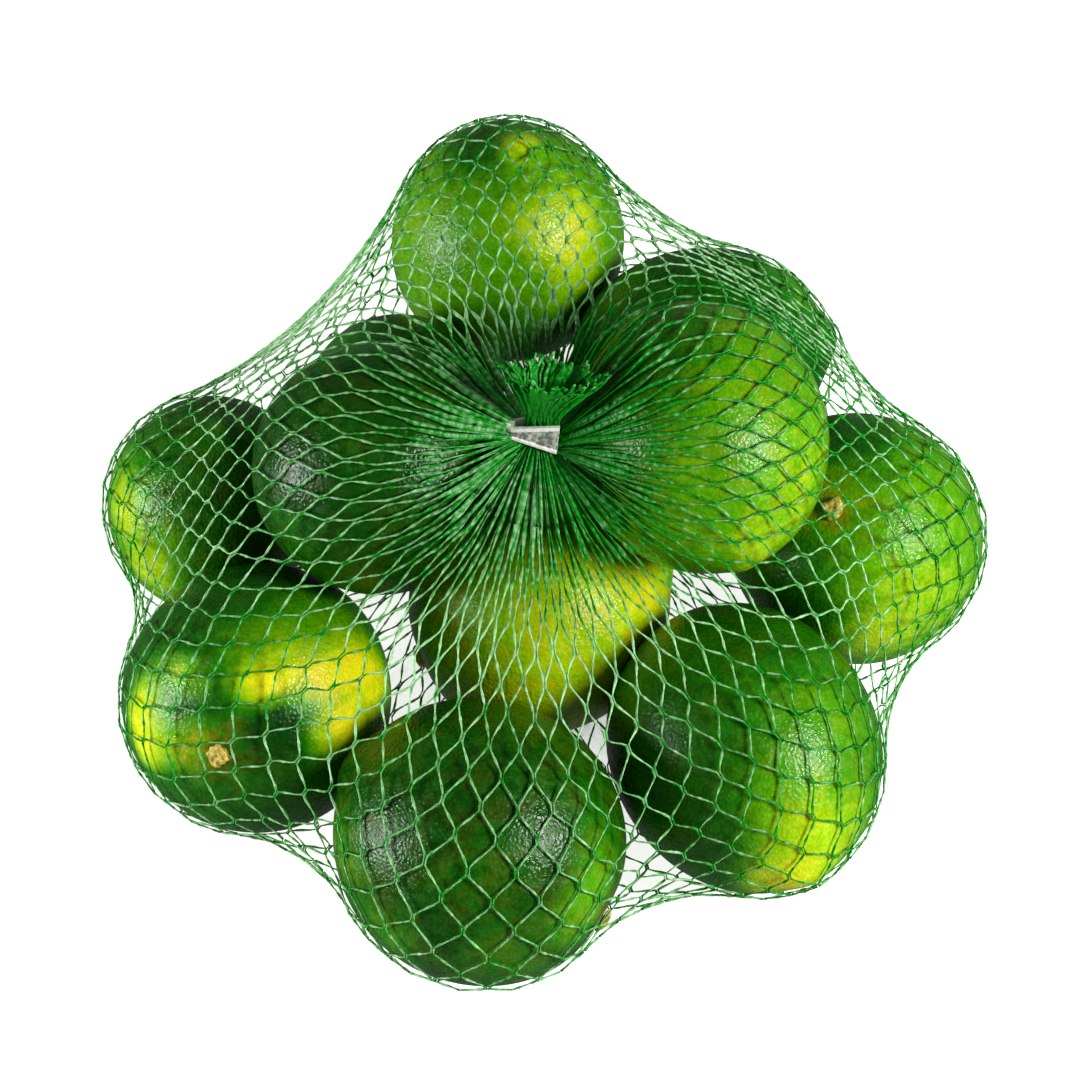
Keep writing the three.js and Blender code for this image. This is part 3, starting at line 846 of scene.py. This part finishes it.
FAN_SHADE = 0.1  # painted shade round the back of the clip, and painted light round its front
FAN_SHADE_MIDDLE = 0.3  # share of that shade halfway between back and front
TAIL_SHADE = 0.25
RIM_PAINTED_HIGHLIGHT = 0.3
RIM_POWER = 10  # painted highlight on the cut ends of the tail


class LIMES_OT_knit_net(bpy.types.Operator):
    """Knits the strands from the cut end above the top clip to the one below the bottom clip"""

    bl_idname = "limes.knit_net"
    bl_label = "Knit Net"

    def execute(self, context):
        settings = context.scene.lime_net
        draw = np.random.default_rng(settings.seed)
        material = net_tape(settings)
        curve, outward, drawn, broad = self.strands(settings, draw)
        run = lengths_along(curve) * MM
        vertices = self.sections(curve, outward, run, broad, settings, draw)
        faces = self.faces(curve.shape[1])
        start = draw.uniform(0, 1, (len(run), 1)) * settings.bead_pitch
        attributes = {"drawn": drawn[..., 0], "run": run + start}
        for k in range(STRAND_PIECES):
            part = vertices[k::STRAND_PIECES]
            size = part.shape[1] * part.shape[2]
            joined = (np.array(faces) + np.arange(len(part))[:, None, None] * size).reshape(-1, 4)
            piece = new_piece(f"net_strands_{k + 1}", part.reshape(-1, 3), joined.tolist(), material)
            for attribute, values in attributes.items():
                paint(piece, attribute, np.repeat(values[k::STRAND_PIECES].reshape(-1), SECTION_SIDES))
            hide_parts("net_bag")
        return {"FINISHED"}

    def strands(self, settings, draw):
        """Each strand's middle line, and along it the way out of the net, the paleness and the breadth."""
        knots = drape_net()
        down, sideways, out = knot_frames(knots)
        row = np.arange(ROWS + 1)
        column = np.arange(COLUMNS)[:, None]
        odd = row % 2
        pick = np.concatenate([(column - odd) % COLUMNS, column + 0 * odd])
        side = np.where(odd == 1, 1, -1)
        hand = np.concatenate([side + 0 * column, -side + 0 * column])
        place = np.tile(np.arange(COLUMNS), 2) + STRAND_SHIFT * hand[:, 0]
        angle = 2 * math.pi * place[:, None] / COLUMNS
        angle, rise = self.pleats(angle)
        tails = [self.tail(gather, angle, hand[:, :1], draw) for gather in (TOP_GATHER, BOTTOM_GATHER)]
        along, aside, away = down[row, pick], sideways[row, pick], out[row, pick]
        spacing = np.linalg.norm(np.roll(knots, -1, axis=1) - knots, axis=-1)[row, pick]
        line = knots[row, pick]
        top_run = self.gather_in(line, tails[0][0][:, -1])
        bottom_run = self.gather_in(line[:, ::-1], tails[1][0][:, -1])[:, ::-1]
        run = np.minimum(top_run, bottom_run)
        fan = np.clip(1 - run / PLEAT_REACH / (1 + BACK_FAN * np.maximum(0, np.sin(angle))), 0, 1)
        loose = np.clip(run / FREE_REACH - 1, 0, 1)
        calm = (line[:, :-2] + 2 * line[:, 1:-1] + line[:, 2:]) / 4
        line[:, 1:-1] = calm + (line[:, 1:-1] - calm) * loose[:, 1:-1, None]
        drift = draw.normal(0, 1, (2, ROWS + 1, COLUMNS))[:, row, pick] * loose
        apart = np.minimum(settings.tape_width / MM * JOINT_GAP, spacing * JOINT_CROWDING) * loose
        middle = (
            line + aside * (hand * apart + drift[1] * KNOT_DRIFT[1])[..., None]
            + away * (rise * fan * PLEAT_RISE)[..., None] + along * (drift[0] * KNOT_DRIFT[0])[..., None]
        )
        half = settings.joint_length / MM / 2 * loose[..., None]
        starts, ends = middle - along * half, middle + along * half
        tint = self.tints(line, angle, fan, loose, draw)
        joint, leg = tint + JOINT_PALE * loose, tint[:, :-1] + LEG_PALE * loose[:, :-1]
        breadth = (1 + (FAN_BREADTH - 1) * fan)[..., None]
        body = (
            joints_and_legs(starts, ends, (ends[:, :-1] + starts[:, 1:]) / 2),
            joints_and_legs(away, away, unit(away[:, :-1] + away[:, 1:])),
            joints_and_legs(joint[..., None], joint[..., None], leg[..., None]),
            joints_and_legs(breadth, breadth, (breadth[:, :-1] + breadth[:, 1:]) / 2),
        )
        # The tails take the place of the first and the last row of knots.
        kept = slice(3, 3 * (ROWS - 1) + 2)
        joined = [
            np.concatenate([top, values[:, kept], bottom[:, ::-1]], axis=1)
            for top, values, bottom in zip(tails[0], body, tails[1])
        ]
        steps = np.full(joined[0].shape[1] - 1, LEG_STEPS)
        first = tails[0][0].shape[1]
        steps[first:-first:3] = JOINT_STEPS
        curve, outward, drawn, broad = (smooth_path(values, steps) for values in joined)
        push_out(curve, PRESSED_STANDOFF)
        curve[..., 2] = np.maximum(curve[..., 2], settings.tape_width / MM / 2 * broad[..., 0])
        return curve, unit(outward), drawn, broad

    def tints(self, line, angle, fan, loose, draw):
        """How pale each strand is at every knot, before its legs are drawn thin: random tone, deeper green
        over riper peel, painted shade behind the clip, and painted light in front of it and where it spans a
        gap.
        """
        strand = draw.uniform(*TINT_SPREAD, (len(line), 1))
        ripeness, gap = self.backing(line)
        # painted shade behind the clip and painted light in front of it, across the fan
        shade = FAN_SHADE * (FAN_SHADE_MIDDLE + np.sin(angle)) * fan
        # painted light on strands that span gaps between the fruit
        spanning = np.clip((gap - OPEN_GAPS[0]) / (OPEN_GAPS[1] - OPEN_GAPS[0]), 0, 1)
        return TINT + strand - shade - BACKED_SHADE * ripeness + OPEN_PAINTED_LIGHT * loose * spanning

    def backing(self, points):
        """How ripe the peel is that each point lies against, and how far off it is."""
        nearest, ripeness = np.full(points.shape[:-1], np.inf), np.zeros(points.shape[:-1])
        for lime in LIMES.values():
            out = points - lime["at"]
            gap = np.linalg.norm(out, axis=-1) - lime["width"] / 2
            closer = gap < nearest
            nearest[closer] = gap[closer]
            ripeness[closer] = ripeness_along(lime, unit(out[closer]), seen_blushes(lime))
        return ripeness, nearest

    def pleats(self, angle):
        """Angles of strands that fall into the gather's folds, and how far they stand out there."""
        shift = sum(-depth / count * np.sin(count * angle + turn) for count, depth, turn in PLEATS)
        rise = sum(depth * np.cos(count * angle + turn) for count, depth, turn in PLEATS)
        return angle + shift, rise

    def gather_in(self, line, start):
        """Leads the start of every line straight into a gather, and gives the lengths along the lines."""
        line[:, 0] = start
        run = lengths_along(line)
        for strand, length in zip(line, run):
            end = np.array([np.interp(FREE_REACH, length, strand[:, axis]) for axis in range(3)])
            inside = length < FREE_REACH
            strand[inside] = strand[0] + (end - strand[0]) * (length[inside] / FREE_REACH)[:, None]
        return run

    def tail(self, gather, angle, hand, draw):
        """A tail's strands, from the cut rim through the clip: points, ways out, paleness and breadth."""
        count = len(angle)
        share = np.array(TAIL_STEPS)[None, :] * draw.uniform(*TAIL_CUTS, (count, 1))
        depth = draw.uniform(*TAIL_DEPTHS, (count, 1))
        hands = np.where(np.arange(len(TAIL_STEPS)) % 2 == 0, TAIL_ZIGZAG, -TAIL_ZIGZAG)
        zigzag = hands * math.pi / COLUMNS * hand
        opening = TAIL_OPENING * np.minimum(share, LONGEST_OPENING) ** FLARE_POWER
        flared = gather_points(gather, angle + zigzag, NECK_TOP + gather["tail"] * share, opening, depth)
        _, _, side, front = gather_axes(gather)
        ring = np.cos(angle)[..., None] * side + np.sin(angle)[..., None] * front
        stray = draw.normal(0, CUT_STRAY, (count, 3))
        flared[:, 0] += stray + ring[:, 0] * draw.uniform(*CUT_FLARE, (count, 1))
        bottom = NECK_EXIT[0] + NECK_EXIT[1] * np.cos(angle)
        height = np.concatenate([np.array(NECK_STEPS) + 0 * angle, bottom], axis=1)
        packed = np.sqrt(draw.uniform(*NECK_FILL, (count, 1)))
        squeezed = gather_points(gather, angle + 0 * height, height, 0 * height, packed)
        points = np.concatenate([flared, squeezed], axis=1)
        # painted highlight at the cut rim, over the tail's own deeper green
        drawn = np.concatenate([share ** RIM_POWER * RIM_PAINTED_HIGHLIGHT, 0 * height], axis=1)[..., None] - TAIL_SHADE
        swell = np.sqrt(np.sin(math.pi * np.minimum(1, share)))
        broad = np.concatenate([1 + (TAIL_BREADTH - 1) * swell, 1 + 0 * height], axis=1)
        return points, np.repeat(ring, points.shape[1], axis=1), drawn, broad[..., None]

    def sections(self, curve, outward, run, broad, settings, draw):
        """Points of every strand's oval section, which turns along it but lies flat where it is broad."""
        tangent = unit(np.gradient(curve, axis=1))
        normal = unit(outward - tangent * dot(outward, tangent))
        across = np.cross(tangent, normal)
        turns = np.diff(run, axis=1, prepend=0) * np.clip(2 - broad[..., 0], 0, 1) / settings.twist_pitch
        turned = np.cumsum(turns, axis=1) * draw.uniform(*TWISTS, (len(curve), 1))
        twist = 2 * math.pi * turned[..., None]
        flat = across * np.cos(twist) + normal * np.sin(twist)
        thin = normal * np.cos(twist) - across * np.sin(twist)
        turn = 2 * math.pi * np.arange(SECTION_SIDES) / SECTION_SIDES
        return (
            curve[:, :, None]
            + np.cos(turn)[:, None] * (flat * broad)[:, :, None] * settings.tape_width / MM / 2
            + np.sin(turn)[:, None] * thin[:, :, None] * settings.tape_thickness / MM / 2
        )

    def faces(self, rings):
        """Faces of one strand, with two that close each cut end."""
        last = (rings - 1) * SECTION_SIDES
        faces = [(0, 3, 2, 1), (0, 5, 4, 3)]
        faces += [(last, last + 1, last + 2, last + 3), (last, last + 3, last + 4, last + 5)]
        for k in range(rings - 1):
            here, there = k * SECTION_SIDES, (k + 1) * SECTION_SIDES
            for a in range(SECTION_SIDES):
                b = (a + 1) % SECTION_SIDES
                faces.append((here + a, here + b, there + b, there + a))
        return faces


# The clips in millimetres, as in the part's source: both edges of the strip at its fold and its open end
FOLD_EDGES = (-0.4, 1.7)
LEG_EDGES = (-2.3, 4)
EDGE_WIDTH = 0.8  # just under that of the source's raised edges, whose inner corners belong to the web


class LIMES_OT_finish_clips(bpy.types.Operator):
    """Gives both clips their crimped aluminium"""

    bl_idname = "limes.finish_clips"
    bl_label = "Finish Clips"

    def execute(self, context):
        material = crimped_aluminium(context.scene.lime_clip)
        for name, gather in (("top_clip", TOP_GATHER), ("bottom_clip", BOTTOM_GATHER)):
            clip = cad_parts[name]
            clip.data.materials.clear()
            clip.data.materials.append(material)
            paint(clip, "edge", self.raised_edge(clip, gather))
        return {"FINISHED"}

    def raised_edge(self, clip, gather):
        """One at each corner of a clip's raised edges, and zero at those of the web between them."""
        centre, along, side, _ = gather_axes(gather)
        corners = np.array([clip.matrix_world @ corner.co for corner in clip.data.vertices]) / MM - centre
        height, reach = corners @ along, corners @ side
        opening = (reach - reach.min()) / np.ptp(reach)
        low, high = (fold + (leg - fold) * opening for fold, leg in zip(FOLD_EDGES, LEG_EDGES))
        return (np.minimum(height - low, high - height) < EDGE_WIDTH).astype(float)


# The stage in metres: where each lamp hangs, seen from the middle of the bag, and how wide it is
LAMP_DISTANCE = 0.9
KEY_WAY = (0.82, -0.31, 0.62)
KEY_WIDTH = 0.3
FILL_WAY = (-0.97, -0.17, 0.17)
FILL_WIDTH = 0.4
FLOOR_HALF = 4.0
VIEW_END = 20


class LIMES_OT_set_stage(bpy.types.Operator):
    """Lays the floor, hangs the lamps and places the camera"""

    bl_idname = "limes.set_stage"
    bl_label = "Set Stage"

    def execute(self, context):
        settings = context.scene.lime_stage
        self.floor(settings)
        aim = Vector(settings.aim)
        self.lamp("key_lamp", aim, Vector(KEY_WAY), KEY_WIDTH, settings.key_power)
        self.lamp("fill_lamp", aim, Vector(FILL_WAY), FILL_WIDTH, settings.fill_power)
        self.surround(context.scene, settings)
        self.camera(context.scene, settings, aim)
        return {"FINISHED"}

    def floor(self, settings):
        corners = [(x * FLOOR_HALF, y * FLOOR_HALF, 0) for x, y in ((-1, -1), (1, -1), (1, 1), (-1, 1))]
        mesh = bpy.data.meshes.new("floor")
        mesh.from_pydata(corners, [], [(0, 1, 2, 3)])
        mesh.materials.append(studio_floor(settings))
        floor = bpy.data.objects.new("floor", mesh)
        floor.visible_glossy = False  # no mirror image of the glow along the rims of the peel
        bpy.context.collection.objects.link(floor)

    def lamp(self, name, aim, way, width, power):
        light = bpy.data.lights.new(name, "AREA")
        light.energy = power
        light.shape = "DISK"
        light.size = width
        lamp = bpy.data.objects.new(name, light)
        lamp.location = aim + way.normalized() * LAMP_DISTANCE
        lamp.rotation_euler = way.to_track_quat("Z", "Y").to_euler()
        bpy.context.collection.objects.link(lamp)

    def surround(self, scene, settings):
        world = bpy.data.worlds.new("white_studio")
        world.use_nodes = True
        background = world.node_tree.nodes["Background"].inputs
        background["Color"].default_value = (1, 1, 1, 1)
        background["Strength"].default_value = settings.surround
        scene.world = world
        scene.view_settings.view_transform = "Standard"

    def camera(self, scene, settings, aim):
        data = bpy.data.cameras.new("camera")
        data.lens = settings.lens
        data.sensor_width = 36
        data.clip_end = VIEW_END
        camera = bpy.data.objects.new("camera", data)
        back = Vector((0, -math.cos(settings.elevation), math.sin(settings.elevation)))
        camera.matrix_world = Matrix.Translation(aim + back * settings.distance) @ (
            back.to_track_quat("Z", "Y").to_matrix().to_4x4())
        bpy.context.collection.objects.link(camera)
        scene.camera = camera


class LIMES_PT_bag(bpy.types.Panel):
    """Lists the steps that build the bag and the sizes they use"""

    bl_label = "Net Bag of Limes"
    bl_idname = "LIMES_PT_bag"
    bl_space_type = "VIEW_3D"
    bl_region_type = "UI"
    bl_category = "Limes"

    def draw(self, context):
        for operator in OPERATORS:
            self.layout.operator(operator.bl_idname)
        for name in SETTINGS:
            group = getattr(context.scene, name)
            for setting in group.bl_rna.properties:
                if setting.identifier not in {"rna_type", "name"}:
                    self.layout.prop(group, setting.identifier)


SETTINGS = {
    "lime_peel": LimePeelSettings,
    "lime_net": NetSettings,
    "lime_clip": ClipSettings,
    "lime_stage": StageSettings,
}
OPERATORS = (
    LIMES_OT_set_stage, LIMES_OT_grow_fruit, LIMES_OT_fit_stems, LIMES_OT_knit_net, LIMES_OT_finish_clips)


def register():
    for cls in (*SETTINGS.values(), *OPERATORS, LIMES_PT_bag):
        bpy.utils.register_class(cls)
    for name, group in SETTINGS.items():
        setattr(bpy.types.Scene, name, bpy.props.PointerProperty(type=group))


def unregister():
    for name in SETTINGS:
        delattr(bpy.types.Scene, name)
    for cls in (LIMES_PT_bag, *reversed(OPERATORS), *SETTINGS.values()):
        bpy.utils.unregister_class(cls)


def main():
    register()
    bpy.ops.limes.set_stage()
    bpy.ops.limes.grow_fruit()
    bpy.ops.limes.fit_stems()
    bpy.ops.limes.knit_net()
    bpy.ops.limes.finish_clips()


if __name__ == "__main__":
    main()
